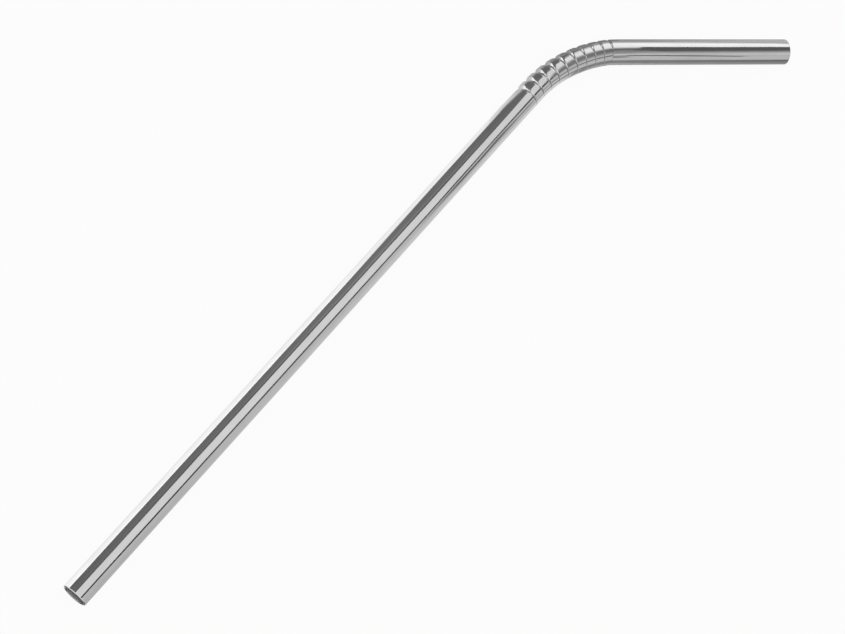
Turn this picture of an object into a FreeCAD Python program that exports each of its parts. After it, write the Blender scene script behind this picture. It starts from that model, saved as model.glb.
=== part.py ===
import FreeCAD, Part
import math
import os
import Sketcher

# Bent drinking straw of stainless steel tube, in millimetres.
# One length of thin tube is rolled with ring grooves and bent there, which leaves a long leg for the
# glass and a short leg for the mouth. It lies on its side: both legs rest on the plane Z = 0, the long
# leg runs along X, the mouth leg turns off towards -Y, and the origin is under the middle of its outline.
# Inside the body, the bend turns about the body's own Z axis and the tube's middle line is at Z = 0.

doc = FreeCAD.newDocument("straw")
V = FreeCAD.Vector

# ---- sizes ------------------------------------------------------------------------------------------

DRIVING = [
    ("tube_diameter", "6"),
    ("wall", "0.5"),
    ("long_leg", "156.4"),
    ("mouth_leg", "43"),
    ("bend_radius", "36"),
    ("bend_angle", "43"),
    ("lip_radius", "0.2"),
    ("bore_break", "0.12"),
    ("bent_grooves", "9"),
    ("lead_in", "1.35"),
    ("lead_out", "3.5"),
    ("groove_depth", "0.28"),
    ("groove_floor", "0.24"),
    ("flank_angle", "40"),
]
DERIVED = [
    # the tube, and the lip rounding and bore chamfer that its wall leaves room for
    ("outer_radius", "=tube_diameter / 2"),
    ("bore_radius", "=outer_radius - wall"),
    ("lip_rounding", "=min(lip_radius; 0.45 * wall)"),
    ("bore_chamfer", "=min(bore_break; 0.3 * wall)"),
    # the middle line's corners, from the bend's centre
    ("bend_end_along", "=bend_radius * sin(bend_angle * 1deg)"),
    ("bend_end_across", "=bend_radius * cos(bend_angle * 1deg)"),
    ("mouth_along", "=bend_end_along + mouth_leg * cos(bend_angle * 1deg)"),
    ("mouth_across", "=bend_end_across - mouth_leg * sin(bend_angle * 1deg)"),
    # the grooves, evenly spaced on the middle line: the first on the long leg, the others in the bend
    ("arc_length", "=bend_radius * bend_angle * pi / 180"),
    ("pitch", "=(arc_length - lead_in - lead_out) / (bent_grooves - 1)"),
    ("first_groove_along", "=lead_in - pitch"),
    ("lead_in_turn", "=lead_in / bend_radius * 180 / pi"),
    ("pattern_turn", "=pitch * (bent_grooves - 1) / bend_radius * 180 / pi"),
    # a groove's corners: half its width there, and the height above the middle line
    ("floor_half", "=groove_floor / 2"),
    ("floor_height", "=outer_radius - groove_depth"),
    ("brow_half", "=floor_half + 2 * groove_depth * tan(flank_angle * 1deg)"),
    ("brow_height", "=outer_radius + groove_depth"),
    # the corners of the rib behind it, one wall thickness further in, with its root inside the wall
    ("crest_half", "=floor_half + wall * tan((90 - flank_angle) / 2 * 1deg)"),
    ("crest_height", "=floor_height - wall"),
    ("root_half", "=crest_half + (root_height - crest_height) * tan(flank_angle * 1deg)"),
    ("root_height", "=bore_radius + 0.8 * (wall - groove_depth)"),
    # the middle of the outline as the straw lies
    ("far_along", "=mouth_along + outer_radius * sin(bend_angle * 1deg)"),
    ("far_across", "=mouth_across - outer_radius * cos(bend_angle * 1deg)"),
    ("middle_along", "=(far_along - long_leg) / 2"),
    ("middle_across", "=(far_across + bend_radius + outer_radius) / 2"),
]
sheet = doc.addObject("Spreadsheet::Sheet", "sizes")
for row, (name, text) in enumerate(DRIVING + DERIVED, start=1):
    sheet.set(f"A{row}", name)
    sheet.set(f"B{row}", text)
    sheet.setAlias(f"B{row}", name)
doc.recompute()

# ---- helpers for the body and its sketches ----------------------------------------------------------

body = doc.addObject("PartDesign::Body", "straw")
body.Label = "straw"
body.setExpression("Placement.Base.x", "-sizes.middle_along")
body.setExpression("Placement.Base.y", "-sizes.middle_across")
body.setExpression("Placement.Base.z", "sizes.outer_radius")


def origin_feature(role):
    """The body's own origin plane or axis with this role."""
    return next(f for f in body.Origin.OriginFeatures if f.Role == role)


def new_sketch(name, role):
    """An empty sketch on one of the body's origin planes."""
    sketch = body.newObject("Sketcher::SketchObject", name)
    sketch.AttachmentSupport = [(origin_feature(role), "")]
    sketch.MapMode = "FlatFace"
    return sketch


def hold(sketch, *constraint):
    """Adds a constraint that has no size."""
    sketch.addConstraint(Sketcher.Constraint(*constraint))


def drive(sketch, cell, *constraint):
    """Adds a constraint whose size is a cell of the sheet, starting from that cell's value now."""
    index = sketch.addConstraint(Sketcher.Constraint(*constraint, float(sheet.get(cell))))
    sketch.renameConstraint(index, cell)
    sketch.setExpression(f"Constraints.{cell}", f"sizes.{cell}")


def arc_about(middle, radius, start, end):
    """An arc in a sketch's plane, anticlockwise from one angle to the other, in degrees."""
    circle = Part.Circle(middle, V(0, 0, 1), radius)
    return Part.ArcOfCircle(circle, math.radians(start), math.radians(end))


def new_feature(kind, name, **settings):
    """A feature on top of what the body has so far. It must change the solid."""
    before = body.Tip.Shape.Volume if body.Tip else 0
    feature = body.newObject(kind, name)
    for setting, value in settings.items():
        setattr(feature, setting, value)
    body.Tip = feature
    doc.recompute()
    assert abs(feature.Shape.Volume - before) > 1e-4, f"{name} changes nothing"
    return feature


# ---- the tube ---------------------------------------------------------------------------------------

# Its middle line is the long leg, the arc of the bend and the mouth leg, each tangent to the next.
radius, corner = sheet.bend_radius, V(sheet.bend_end_along, sheet.bend_end_across)
mouth_end = V(sheet.mouth_along, sheet.mouth_across)
foot_end = V(-sheet.long_leg, radius)
path = new_sketch("middle_line", "XY_Plane")
leg = path.addGeometry(Part.LineSegment(foot_end, V(0, radius)), False)
arc = path.addGeometry(arc_about(V(), radius, 90 - sheet.bend_angle, 90), False)
mouth = path.addGeometry(Part.LineSegment(corner, mouth_end), False)
hold(path, "Coincident", arc, 3, -1, 1)
hold(path, "Horizontal", leg)
hold(path, "Tangent", leg, 2, arc, 2)
hold(path, "Tangent", arc, 1, mouth, 1)
drive(path, "long_leg", "DistanceX", leg, 1, leg, 2)
drive(path, "bend_radius", "Radius", arc)
drive(path, "bend_end_along", "DistanceX", -1, 1, mouth, 1)
drive(path, "mouth_leg", "Distance", mouth)


def tube_section(name, cell):
    """A circle square to the long leg at its open end, with its radius from the sheet."""
    sketch = new_sketch(name, "YZ_Plane")
    sketch.setExpression("AttachmentOffset.Base.x", "sizes.bend_radius")
    sketch.setExpression("AttachmentOffset.Base.z", "-sizes.long_leg")
    ring = sketch.addGeometry(Part.Circle(V(), V(0, 0, 1), float(sheet.get(cell))), False)
    hold(sketch, "Coincident", ring, 3, -1, 1)
    drive(sketch, cell, "Radius", ring)
    doc.recompute()
    return sketch


outside = new_feature(
    "PartDesign::AdditivePipe",
    "outside",
    Profile=tube_section("outside_section", "outer_radius"),
    Spine=(path, []),
)
bore = new_feature(
    "PartDesign::SubtractivePipe",
    "bore",
    Profile=tube_section("bore_section", "bore_radius"),
    Spine=(path, []),
)


def end_edges(feature, ring_radius):
    """The names of the round edges with this radius at the two open ends."""
    return [
        f"Edge{number}"
        for number, edge in enumerate(feature.Shape.Edges, start=1)
        if min((edge.CenterOfMass - end).Length for end in (foot_end, mouth_end)) < 0.01
        and abs(edge.Length - 2 * math.pi * ring_radius) < 0.01
    ]


# Both open ends are polished round outside and deburred inside, so that they don't cut a lip.
inner = (bore, end_edges(bore, sheet.bore_radius))
deburred = new_feature("PartDesign::Chamfer", "deburred_bore", Base=inner, Size=sheet.bore_chamfer)
deburred.setExpression("Size", "sizes.bore_chamfer")
outer = (deburred, end_edges(deburred, sheet.outer_radius))
lips = new_feature("PartDesign::Fillet", "lips", Base=outer, Radius=sheet.lip_rounding)
lips.setExpression("Radius", "sizes.lip_rounding")

# ---- the rolled grooves -----------------------------------------------------------------------------

# A roller presses each ring groove in from outside. The wall keeps its thickness, so it stands proud
# inside the bore as a rib. Rib and groove are drawn beside the middle line and turned about it.


def ring_sketch(name, in_bend):
    """A sketch whose horizontal axis is the middle line at the first groove of the leg or the bend."""
    sketch = new_sketch(name, "XY_Plane")
    if in_bend:
        turn = "sizes.lead_in_turn * 1deg"
        sketch.setExpression("AttachmentOffset.Base.x", f"sizes.bend_radius * sin({turn})")
        sketch.setExpression("AttachmentOffset.Base.y", f"sizes.bend_radius * cos({turn})")
        sketch.setExpression("AttachmentOffset.Rotation.Angle", "-sizes.lead_in_turn")
    else:
        sketch.setExpression("AttachmentOffset.Base.x", "sizes.first_groove_along")
        sketch.setExpression("AttachmentOffset.Base.y", "sizes.bend_radius")
    return sketch


def turned(kind, name, corners, in_bend):
    """Turns an outline once round the middle line.

    The outline is alike on both sides of the groove's own plane. Each of its corners is two cells of
    the sheet: half the width there, and the height above the middle line.
    """
    sketch = ring_sketch(f"{name}_outline", in_bend)
    right = [V(sheet.get(half), sheet.get(height)) for half, height in corners]
    left = [V(-point.x, point.y) for point in reversed(right)]
    points = right + left
    last = len(points) - 1
    for point, following in zip(points, points[1:] + points[:1]):
        sketch.addGeometry(Part.LineSegment(point, following), False)
    for line in range(len(points)):
        hold(sketch, "Coincident", line, 2, line + 1 if line < last else 0, 1)
    for line, (half, height) in enumerate(corners):
        drive(sketch, half, "DistanceX", -1, 1, line, 1)
        drive(sketch, height, "DistanceY", -1, 1, line, 1)
        hold(sketch, "Symmetric", line, 1, last - line, 1, -2)
    doc.recompute()
    return new_feature(kind, name, Profile=sketch, ReferenceAxis=(sketch, ["H_Axis"]), Angle=360)


def round_the_bend(name, first):
    """Repeats the bend's first rib or groove about the bend's centre."""
    pattern = new_feature(
        "PartDesign::PolarPattern",
        name,
        Originals=[first],
        Axis=(origin_feature("Z_Axis"), [""]),
        Angle=sheet.pattern_turn,
        Occurrences=int(sheet.bent_grooves),
        Reversed=True,
    )
    pattern.setExpression("Angle", "sizes.pattern_turn")
    pattern.setExpression("Occurrences", "sizes.bent_grooves")
    return pattern


GROOVE = [("floor_half", "floor_height"), ("brow_half", "brow_height")]
RIB = [("crest_half", "crest_height"), ("root_half", "root_height")]
turned("PartDesign::Revolution", "leg_rib", RIB, in_bend=False)
round_the_bend("bend_ribs", turned("PartDesign::Revolution", "bend_rib", RIB, in_bend=True))
turned("PartDesign::Groove", "leg_groove", GROOVE, in_bend=False)
round_the_bend("bend_grooves", turned("PartDesign::Groove", "bend_groove", GROOVE, in_bend=True))

# ---- check and export -------------------------------------------------------------------------------

for item in doc.Objects:
    assert not {"Invalid", "Error"} & set(item.State), f"{item.Name} is {item.State}"
    if item.isDerivedFrom("Sketcher::SketchObject"):
        assert item.FullyConstrained, f"{item.Name} is not fully constrained"
solid = body.Shape
assert not solid.isNull() and solid.isValid() and len(solid.Solids) == 1, "the straw is not one sound solid"
tube_area = math.pi * (sheet.outer_radius**2 - sheet.bore_radius**2)
tube_length = sheet.long_leg + sheet.arc_length + sheet.mouth_leg
print(f"straw: {solid.Volume:.1f} mm3, a plain tube of its length {tube_area * tube_length:.1f} mm3")
print(f"middle line {tube_length:.1f} mm, grooves every {sheet.pitch:.2f} mm")

os.makedirs("parts", exist_ok=True)
solid.exportStep(f"parts/{body.Label}.step")
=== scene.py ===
import math

import bpy
import numpy as np
from mathutils import Matrix, Vector


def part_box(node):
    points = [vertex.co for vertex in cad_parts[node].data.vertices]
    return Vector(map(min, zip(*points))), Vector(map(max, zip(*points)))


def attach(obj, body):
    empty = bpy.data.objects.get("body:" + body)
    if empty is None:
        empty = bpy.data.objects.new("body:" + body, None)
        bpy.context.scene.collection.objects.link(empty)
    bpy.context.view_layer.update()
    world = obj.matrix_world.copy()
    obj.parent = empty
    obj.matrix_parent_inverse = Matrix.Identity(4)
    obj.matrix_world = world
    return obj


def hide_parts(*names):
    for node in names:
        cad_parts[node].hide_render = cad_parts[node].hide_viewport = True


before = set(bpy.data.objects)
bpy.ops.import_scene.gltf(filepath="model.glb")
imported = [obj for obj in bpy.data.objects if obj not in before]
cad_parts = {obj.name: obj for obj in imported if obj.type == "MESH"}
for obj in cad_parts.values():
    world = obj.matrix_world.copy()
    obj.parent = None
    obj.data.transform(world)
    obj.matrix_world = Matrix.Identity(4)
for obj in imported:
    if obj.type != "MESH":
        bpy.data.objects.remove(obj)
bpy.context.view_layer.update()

# ---- the straw --------------------------------------------------------------------------------------
# One length of thin stainless steel tube, open at both ends: cut, rolled with ten ring grooves, bent there
# through 43 degrees and polished. The grooves open on the outside of the bend and close up on the inside,
# and the wall behind each one stands out into the bore as a rib.

low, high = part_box("straw")
tube_radius = (high.z - low.z) / 2
wall = 0.0005
lip_radius = 0.0002
long_leg, mouth_leg = 0.1566, 0.0428
bend_radius, bend_angle = 0.036, math.radians(43)
arc_length = bend_radius * bend_angle
tube_length = long_leg + arc_length + mouth_leg
foot = np.array([low.x, high.y - tube_radius, low.z + tube_radius])

# The grooves start just before the bend and stand closer together towards the mouth.
groove_count, first_groove = 10, 0.15466
pitches = np.interp(np.arange(groove_count - 1), [4, 7], [0.00293, 0.00245])
groove_places = first_groove + np.concatenate([[0], np.cumsum(pitches)])

# A groove is this deep and reaches this far each way, halfway round between the outside and the inside of
# the bend. On the outside it is deeper and wider by these factors, on the inside shallower and narrower by
# the same, and the last groove has these shares of the depth and the reach.
groove_depth, groove_reach = 0.00030, 0.00020
deeper_outside, wider_outside = 1.8, 2.5
last_depth, last_reach = 0.65, 0.5

# The share of the turning that the grooves take, and the length of tube over which each one turns.
turn_share, turn_length = 0.8, 0.0007


def turned(s):
    """How far the tube has turned at distance s from the foot end, in radians.

    The bend is an even arc, but the tube gives way in its grooves and the bands between them stay almost
    straight. So turn_share of each groove's part of the turning, the arc's length from halfway to the groove
    before to halfway to the next one over the bend radius, rises as a smooth step across that groove, and
    the rest is spread evenly.
    """
    halfway = (groove_places[1:] + groove_places[:-1]) / 2
    edges = np.concatenate([[0], halfway, [tube_length]])
    parts = np.diff(np.clip(edges, long_leg, long_leg + arc_length))
    step = np.clip((s[..., None] - groove_places) / turn_length + 0.5, 0, 1)
    stepped = (parts * step * step * (3 - 2 * step)).sum(-1)
    even = np.clip(s - long_leg, 0, arc_length)
    return (turn_share * stepped + (1 - turn_share) * even) / bend_radius


def middle_line(s, count=22601):
    """Point and outward side of the tube's middle line at distance s from the foot end.

    The line runs along (cos, -sin) of the turning, so the point is the sum of its small steps from the foot
    on. The side is that direction turned a quarter to the left, (sin, cos).
    """
    steps = np.linspace(0, tube_length, count)
    halfway = turned((steps[1:] + steps[:-1]) / 2)
    along = np.concatenate([[0], np.cumsum(np.cos(halfway))]) * steps[1]
    across = -np.concatenate([[0], np.cumsum(np.sin(halfway))]) * steps[1]
    turn = turned(s)
    side = np.stack([np.sin(turn), np.cos(turn), 0 * turn], -1)
    return foot + np.stack([np.interp(s, steps, along), np.interp(s, steps, across), 0 * s], -1), side


def groove_shape(s, outward):
    """How deep the grooves are pressed in at distance s, from 0 on the bands up, with 1 for groove_depth.

    Each groove is a flat-bottomed bell, exp(-|x / reach|^2.4). outward is the cosine of the angle from the
    outside of the bend. The reach is groove_reach times wider_outside to the power of outward, and the depth
    is multiplied by deeper_outside to that power. From the fifth groove on they get shallower, down to
    last_depth, and from the fourth on narrower, down to last_reach.
    """
    number = np.arange(groove_count)
    narrowing = np.interp(number, [3, groove_count - 1], [1, last_reach])
    reach = groove_reach * wider_outside**outward[..., None] * narrowing
    bell = np.exp(-np.abs((s[..., None] - groove_places) / reach) ** 2.4)
    fading = np.interp(number, [4, groove_count - 1], [1, last_depth])
    return (bell * fading).sum(-1) * deeper_outside**outward


def outline(crowded=0.0005, band=0.0024, leg=0.0025):
    """The tube's wall as a closed outline: distance along the tube and depth into the wall, both arrays.

    It runs up the outside, round the mouth's lip, back down the bore and round the foot's lip. Rings crowd
    together at the middle of each groove, as u|u|^0.5 times crowded, and are even from there to the end of
    the band. They start again where the mouth leg does. The lips are quarter circles of lip_radius.
    """
    before = np.linspace(lip_radius, groove_places[0] - crowded, 24, endpoint=False)
    after = np.linspace(groove_places[-1] + leg, tube_length - lip_radius, 12)

    def middle(at_groove, on_band):
        u = np.linspace(-1, 1, at_groove)
        places = [crowded * u * np.abs(u) ** 0.5, np.linspace(crowded, band, on_band)[1:-1]]
        return np.sort((groove_places[:, None] + np.concatenate(places)).ravel())

    outside = np.concatenate([before, middle(27, 7), after])
    inside = np.concatenate([before, middle(13, 4), after])[::-1]
    quarter = np.linspace(0, math.pi / 2, 9)[1:-1]
    sunk, back = lip_radius * (1 - np.cos(quarter)), lip_radius * (1 - np.sin(quarter))
    s = [outside, tube_length - back, tube_length - back[::-1], inside, back, back[::-1]]
    depth = [0 * outside, sunk, wall - sunk[::-1], 0 * inside + wall, wall - sunk, sunk[::-1]]
    return np.concatenate(s), np.concatenate(depth)


def straw_surface(around=144):
    """The closed wall as a grid of points, with how deep each is in a groove and where it was on the tube.

    A point is the middle line's point plus (tube radius - depth into the wall - groove) times the ring's
    own direction, which turns from the outside of the bend towards +Z. On the straight tube the same point
    was at its distance along the tube and the same way off the tube's axis.
    """
    s, depth = outline()
    point, side = middle_line(s)
    angle = np.linspace(0, 2 * math.pi, around, endpoint=False)
    outward = np.broadcast_to(np.cos(angle), (len(s), around))
    distance = np.broadcast_to(s[:, None], outward.shape)
    pressed = groove_shape(distance, outward)
    radius = tube_radius - depth[:, None] - groove_depth * pressed
    ring = side[:, None] * np.cos(angle)[:, None] + np.array([0, 0, 1]) * np.sin(angle)[:, None]
    straight = np.stack([distance, radius * np.cos(angle), radius * np.sin(angle)], -1)
    return point[:, None] + radius[..., None] * ring, pressed, outward, straight, depth


points, pressed, outward, straight, depth = straw_surface()
rows, columns = points.shape[:2]
index = np.arange(rows * columns).reshape(rows, columns)
below, beside = np.roll(index, -1, 0), np.roll(index, -1, 1)
faces = np.stack([index, beside, np.roll(below, -1, 1), below], -1).reshape(-1, 4)

mesh = bpy.data.meshes.new("polished_straw")
mesh.vertices.add(rows * columns)
mesh.vertices.foreach_set("co", points.reshape(-1).astype(np.float32))
mesh.loops.add(faces.size)
mesh.loops.foreach_set("vertex_index", faces.reshape(-1).astype(np.int32))
mesh.polygons.add(len(faces))
mesh.polygons.foreach_set("loop_start", np.arange(0, faces.size, 4, dtype=np.int32))
mesh.update(calc_edges=True)
mesh.validate()
mesh.shade_smooth()
straw = bpy.data.objects.new("polished_straw", mesh)
bpy.context.scene.collection.objects.link(straw)

# What the finish and the painted shade follow: the place on the straight tube, the bore, which begins
# six tenths of the way through the wall and is full at nine, and where a groove is pressed shut on the
# inner side of the bend.
in_bore = np.clip((depth[:, None] - 0.6 * wall) / (0.3 * wall), 0, 1) + 0 * pressed
shut_groove_shade = pressed * np.clip(-0.1 - 2 * outward, 0, 1) * (1 - in_bore)
for name, kind, field, values in (
    ("straight", "FLOAT_VECTOR", "vector", straight),
    ("in_bore", "FLOAT", "value", in_bore),
    ("shut_groove_shade", "FLOAT", "value", shut_groove_shade),
):
    attribute = mesh.attributes.new(name, kind, "POINT")
    attribute.data.foreach_set(field, values.ravel().astype(np.float32))

steel = bpy.data.materials.new("polished_steel")
steel.use_nodes = True
nodes, links = steel.node_tree.nodes, steel.node_tree.links
shader = nodes["Principled BSDF"]
shader.inputs["Metallic"].default_value = 1


def read(name):
    """A node that reads one of the mesh's attributes."""
    node = nodes.new("ShaderNodeAttribute")
    node.attribute_name = name
    return node


def noise_along(along, across, detail):
    """Noise on the straight tube, with this many waves a metre along it and across it."""
    place = nodes.new("ShaderNodeMapping")
    place.inputs["Scale"].default_value = (along, across, across)
    links.new(read("straight").outputs["Vector"], place.inputs["Vector"])
    noise = nodes.new("ShaderNodeTexNoise")
    noise.inputs["Scale"].default_value = 1
    noise.inputs["Detail"].default_value = detail
    links.new(place.outputs[0], noise.inputs["Vector"])
    return noise.outputs["Fac"]


def between(share, low, high):
    """A number that goes from low to high as the share goes from 0.3 to 0.7."""
    node = nodes.new("ShaderNodeMapRange")
    for socket, value in (("From Min", 0.3), ("From Max", 0.7), ("To Min", low), ("To Max", high)):
        node.inputs[socket].default_value = value
    links.new(share, node.inputs["Value"])
    return node.outputs[0]


def mixed_to(share, value, other):
    """The value turned into another number by the share."""
    node = nodes.new("ShaderNodeMix")
    links.new(share, node.inputs[0])
    links.new(value, node.inputs[2])
    node.inputs[3].default_value = other
    return node.outputs[0]


# The polish is a little rough in fine lines along the tube, and its tone is slightly cloudy. The bore is
# duller and darker, and so is the bottom of a groove that is pressed shut: the duller roughness is the
# finish, and the darker tone is painted shade for the inside of the tube and for the closed creases.
polish_lines = noise_along(45, 6500, 3)
waves = noise_along(70, 330, 1)
cloud = noise_along(180, 600, 4)
bore = read("in_bore").outputs["Fac"]
crease_shade = read("shut_groove_shade").outputs["Fac"]
roughness = mixed_to(bore, between(polish_lines, 0.07, 0.14), 0.42)
links.new(mixed_to(crease_shade, roughness, 0.3), shader.inputs["Roughness"])
tone = nodes.new("ShaderNodeCombineColor")
# Painted shade: the tone drops to 0.4 in the bore and to 0.12 in a groove pressed shut.
grey = mixed_to(crease_shade, mixed_to(bore, between(cloud, 0.615, 0.665), 0.4), 0.12)
for channel in ("Red", "Green", "Blue"):
    links.new(grey, tone.inputs[channel])
links.new(tone.outputs[0], shader.inputs["Base Color"])

# The lines stand less than a thousandth of a millimetre high, and the slow waves fifteen thousandths.
lines = nodes.new("ShaderNodeBump")
lines.inputs["Distance"].default_value = 8e-7
links.new(polish_lines, lines.inputs["Height"])
swell = nodes.new("ShaderNodeBump")
swell.inputs["Distance"].default_value = 1.5e-5
links.new(waves, swell.inputs["Height"])
links.new(lines.outputs[0], swell.inputs["Normal"])
links.new(swell.outputs[0], shader.inputs["Normal"])
mesh.materials.append(steel)

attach(straw, "root")
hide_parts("straw")

# ---- the table top ----------------------------------------------------------------------------------
# A white painted board, far wider than the straw that lies on it. To the camera most of its white is its
# own, and the rest is lit and takes the straw's shadow.

half_width = 4.0
own_white = 0.93
board = [(-half_width, -half_width, 0), (half_width, -half_width, 0)]
board += [(half_width, half_width, 0), (-half_width, half_width, 0)]
floor_mesh = bpy.data.meshes.new("table_top")
floor_mesh.from_pydata(board, [], [(0, 1, 2, 3)])
floor = bpy.data.objects.new("table_top", floor_mesh)
bpy.context.scene.collection.objects.link(floor)
white = bpy.data.materials.new("white_table")
white.use_nodes = True
nodes, links = white.node_tree.nodes, white.node_tree.links
paint = nodes["Principled BSDF"]
paint.inputs["Base Color"].default_value = (0.9, 0.9, 0.9, 1)
paint.inputs["Roughness"].default_value = 0.9
glow = nodes.new("ShaderNodeEmission")
mixed = nodes.new("ShaderNodeMixShader")
ray = nodes.new("ShaderNodeLightPath")
share = nodes.new("ShaderNodeMath")
share.operation = "MULTIPLY"
share.inputs[1].default_value = own_white
links.new(ray.outputs["Is Camera Ray"], share.inputs[0])
links.new(share.outputs[0], mixed.inputs[0])
links.new(paint.outputs[0], mixed.inputs[1])
links.new(glow.outputs[0], mixed.inputs[2])
links.new(mixed.outputs[0], nodes["Material Output"].inputs["Surface"])
floor_mesh.materials.append(white)

# ---- the light --------------------------------------------------------------------------------------
# An evenly lit room, and in it glowing cards that are no lamps and paint the reflections in the polish:
# painted reflections of lights overhead, beside the long leg and past the mouth end, of dark flags between
# them and of light and shade on the table. Only the polish shows these, and to the camera the room is as
# white as the table.

room_light, room_white = 0.8, 1.08
world = bpy.data.worlds.new("studio")
bpy.context.scene.world = world
world.use_nodes = True
nodes, links = world.node_tree.nodes, world.node_tree.links
ray = nodes.new("ShaderNodeLightPath")
strength = nodes.new("ShaderNodeMapRange")
strength.inputs["To Min"].default_value = room_light
strength.inputs["To Max"].default_value = room_white
links.new(ray.outputs["Is Camera Ray"], strength.inputs["Value"])
links.new(strength.outputs[0], nodes["Background"].inputs["Strength"])
nodes["Background"].inputs["Color"].default_value = (0.9, 0.9, 0.9, 1)

# The cards glow without being lamps, so only a reflection finds them.
glowing = bpy.data.materials.new("studio_card")
glowing.use_nodes = True
nodes, links = glowing.node_tree.nodes, glowing.node_tree.links
nodes.remove(nodes["Principled BSDF"])
light, strength = nodes.new("ShaderNodeEmission"), nodes.new("ShaderNodeAttribute")
strength.attribute_name = "glow"
links.new(strength.outputs["Fac"], light.inputs["Strength"])
links.new(light.outputs[0], nodes["Material Output"].inputs["Surface"])
glowing.cycles.emission_sampling = "NONE"

# Each card hangs this much nearer than the one before, or lies this much higher, in millimetres.
arch_step, table_step = 0.02, 0.001
cards = []


def card(name, radius, corners, glow, across=13, along=97):
    """A card that paints a light or dark patch into the reflections, and hides the cards before it.

    With a radius it is a piece of a round arch that stands over the straw along X, and each corner is its
    distance along X in millimetres and its angle in degrees up from the +Y side. With radius 0 it lies flat
    on the table and a corner is its X and Y in millimetres. The surface is the straight blend between the
    four corners. So is the glow, of which 1 is white, where it has four values instead of one.
    """
    order = len(cards) + 1
    u, v = np.meshgrid(np.linspace(0, 1, across), np.linspace(0, 1, along), indexing="ij")
    share = np.stack([(1 - u) * (1 - v), u * (1 - v), u * v, (1 - u) * v], -1)
    first, second = (share @ np.array(corners, float)).transpose(2, 0, 1)
    if radius:
        tip = np.radians(second)
        r = radius - arch_step * order
        points = np.stack([first, r * np.cos(tip), r * np.sin(tip)], -1)
    else:
        points = np.stack([first, second, 0 * first + table_step * order], -1)
    grid = np.arange(across * along).reshape(across, along)
    quads = np.stack([grid[:-1, :-1], grid[1:, :-1], grid[1:, 1:], grid[:-1, 1:]], -1).reshape(-1, 4)
    mesh = bpy.data.meshes.new(name)
    mesh.from_pydata((points / 1000).reshape(-1, 3).tolist(), [], quads.tolist())
    values = share @ np.broadcast_to(np.array(glow, float), 4)
    mesh.attributes.new("glow", "FLOAT", "POINT").data.foreach_set("value", values.ravel().astype(np.float32))
    mesh.materials.append(glowing)
    panel = bpy.data.objects.new(name, mesh)
    bpy.context.scene.collection.objects.link(panel)
    panel.visible_camera = panel.visible_diffuse = panel.visible_shadow = False
    cards.append(panel)


# The tent over everything, brighter past the foot end and low on the -Y side, darker past the mouth end.
card("tent", 201, [(-900, 0), (900, 0), (900, 180), (-900, 180)], 0.62)
card("left_tent", 200, [(-900, 0), (-115, 0), (-115, 180), (-900, 180)], 1.2)
card("right_flag", 200, [(210, 110), (900, 110), (900, 180), (190, 180)], 0.25)
card("low_card", 200, [(-115, 138), (180, 130), (180, 181), (-115, 181)], [0.78, 0.62, 0.8, 0.62])

# A low light along the +Y side, which fades out beside the bend.
card("side_light", 200, [(-115, -5), (60, -5), (50, 12), (-115, 14)], 1.55)
card("side_fade", 200, [(60, -5), (115, -5), (95, 5), (50, 12)], [1.5, 0.4, 0.4, 1.5])

# The dark flag above it, with a paler streak across it and a darker upper edge.
card("dark_flag", 200, [(-115, 13), (60, 12), (60, 64), (-115, 64)], [0.15, 0.21, 0.27, 0.18])
card("dark_flag_2", 200, [(60, 12), (115, -5), (135, 64), (60, 64)], [0.21, 0.19, 0.21, 0.27])
card("dark_flag_3", 200, [(115, -5), (380, -5), (180, 64), (135, 64)], 0.19)
card("streak", 200, [(-30, 54), (60, 52), (60, 60), (-30, 61)], [0.18, 0.34, 0.38, 0.2])
card("streak_2", 200, [(60, 52), (135, 44), (135, 53), (60, 60)], [0.34, 0.2, 0.2, 0.38])
card("flag_edge", 200, [(-115, 64), (182, 60), (150, 71), (-115, 72)], [0.1, 0.14, 0.14, 0.1])

# The broad light overhead.
card("overhead", 200, [(-115, 73), (110, 71), (130, 133), (-115, 139)], 0.97)
card("overhead_2", 200, [(110, 71), (198, 56), (165, 125), (125, 133)], 0.95)

# High lights past the mouth end, each with a soft lower edge.
card("mouth_light", 200, [(190, 48), (350, 30), (520, 125), (165, 100)], [1.1, 1.4, 1.5, 1.2])
card("mouth_light_2", 200, [(350, 30), (545, 8), (565, 60), (520, 125)], [1.4, 1.0, 0.9, 1.3])
card("mouth_edge", 200, [(240, 24), (350, 8), (350, 38), (220, 46)], [0.2, 0.35, 1.2, 0.9])
card("mouth_edge_2", 200, [(350, 8), (640, 8), (540, 46), (350, 38)], [0.35, 0.55, 1.0, 1.2])

# Nearer cards for the mouth leg and the last bands: a dark stripe, the fade below it and a line.
card("mouth_flag_2", 60, [(116, 78), (156, 119), (122, 136), (88, 102)], 0.13)
card("mouth_fade", 60, [(90, 103), (127, 134), (107, 151), (73, 126)], [0.13, 0.13, 1.0, 0.75])
card("mouth_line", 60, [(67, 127), (89, 150), (84, 158), (61, 135)], [0.16, 0.35, 0.35, 0.2])
card("mouth_flag", 60, [(107, 83), (119, 80), (95, 102), (90, 99)], 0.13)
card("bend_ramp", 60, [(66, 104), (94, 102), (82, 124), (66, 124)], [0.28, 0.2, 0.68, 0.62])

# Close to the bend: cards that paint the bright edge of the bands and their dark patches into the reflection.
card("bend_edge", 30, [(65, 57), (72, 46), (72, 61), (66, 75)], [0.95, 1.0, 0.29, 0.3])
card("bend_edge_2", 30, [(72, 46), (94, 73), (88, 83), (72, 61)], [1.0, 1.15, 0.17, 0.29])
card("bend_dark", 30, [(66, 75), (72, 61), (72, 88), (66, 100)], [0.3, 0.28, 0.27, 0.15])
card("bend_dark_2", 30, [(72, 61), (88, 83), (84, 92), (72, 87)], [0.28, 0.17, 0.17, 0.28])

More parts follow.
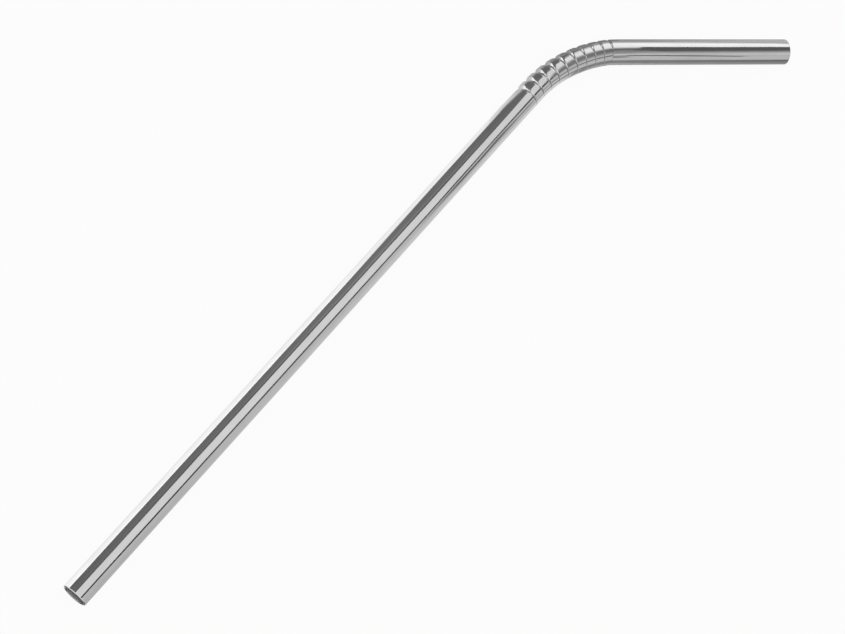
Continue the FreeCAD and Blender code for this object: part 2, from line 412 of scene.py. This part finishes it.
# The painted reflection of a thin dark line along the long leg and into the bend.
card("line_a", 30, [(-107, 97), (20, 96), (22, 114), (-107, 115)], [0.04, 0.12, 0.12, 0.04])
card("line_b", 30, [(20, 96), (48, 84), (50, 97), (22, 114)], 0.08)
card("line_c", 30, [(48, 84), (67, 86), (68, 102), (50, 97)], 0.08)

# The painted reflection of a second dark line, beside it, along the end of the long leg and the bend.
card("second_a", 30, [(22, 120), (36, 119), (38, 150), (24, 150)], [0.62, 0.2, 0.2, 0.62])
card("second_b", 30, [(36, 119), (45, 121), (48, 148), (38, 150)], [0.2, 0.17, 0.17, 0.2])
card("second_c", 30, [(45, 121), (68, 124), (62, 148), (48, 148)], [0.17, 0.4, 0.4, 0.17])

# Cards lying on the table on the +Y side paint its reflection: painted light along the long leg, painted
# shade beyond the bend.
card("bright_near", 0, [(-300, 20), (38, 20), (46, 27), (-300, 27)], [1.12, 1.0, 1.2, 1.2])
card("bright_table_reflection", 0, [(-300, 27), (46, 27), (66, 140), (-300, 140)], [1.45, 1.3, 1.45, 1.55])
card("table_reflection_fade", 0, [(38, 20), (56, 20), (90, 140), (66, 140)], [1.05, 0.6, 0.3, 1.4])
card("dark_table_reflection", 0, [(52, 44), (95, 13), (280, 40), (90, 140)], [0.28, 0.4, 0.5, 0.25])

# Strips on the table along the outside of the bend and the mouth leg, which paint shade into its reflection.
card("outer_1", 0, [(51, 20), (66, 16), (70, 33), (56, 38)], [0.65, 0.3, 0.3, 0.8])
card("outer_fade", 0, [(66, 16), (80, 12), (95, 24), (70, 33)], [0.32, 0.34, 0.22, 0.28])
card("outer_2", 0, [(83, 15), (113, -16), (124, -8), (95, 18)], [0.55, 0.7, 0.65, 0.35])
card("edge_line", 0, [(76, 13), (110, -19), (113, -16), (82, 15)], 0.2)

# Cards on the table on the -Y side and under the mouth leg paint shade into its reflection, and one past
# the foot end paints the straw's shadow there.
card("right_floor", 0, [(-100, 17), (60, 17), (60, -130), (-100, -130)], [0.62, 0.9, 0.88, 0.62])
card("bend_near", 0, [(58, 16), (64, 13), (66, -8), (61, -12)], [0.85, 0.33, 0.33, 0.85])
card("mouth_near", 0, [(64, -1), (106, -34), (110, -26), (60, 12)], [0.25, 0.25, 0.45, 0.4])
card("mouth_mid", 0, [(60, -17), (101, -50), (106, -34), (64, -1)], [0.35, 0.12, 0.25, 0.3])
card("mouth_far", 0, [(40, -96), (80, -136), (101, -50), (60, -17)], [0.55, 0.55, 0.24, 0.35])
card("foot_shade", 0, [(-130, 0), (-108, 0), (-108, 40), (-130, 40)], 0.12)

# ---- the camera -------------------------------------------------------------------------------------
# It looks steeply down on the straw from over its foot end, and is rolled so that the long leg rises to
# the right. Its place is given by the point that it looks at, the way there and the distance.

looked_at = Vector((-0.00994, 0.00342, tube_radius))
distance = 0.48018
azimuth, elevation, roll = math.radians(166.481), math.radians(67.671), math.radians(56.038)

camera_data = bpy.data.cameras.new("camera")
camera_data.sensor_width = 36
camera_data.lens = 92.38
camera_data.clip_start = 0.01
camera = bpy.data.objects.new("camera", camera_data)
level = math.cos(elevation)
back = Vector((level * math.cos(azimuth), level * math.sin(azimuth), math.sin(elevation)))
sideways = Vector((0, 0, 1)).cross(back).normalized()
upright = back.cross(sideways)
right = math.cos(roll) * sideways + math.sin(roll) * upright
up = math.cos(roll) * upright - math.sin(roll) * sideways
place = Matrix((right, up, back)).transposed().to_4x4()
place.translation = looked_at + distance * back
camera.matrix_world = place
bpy.context.scene.collection.objects.link(camera)
bpy.context.scene.camera = camera
bpy.context.scene.view_settings.view_transform = "Standard"
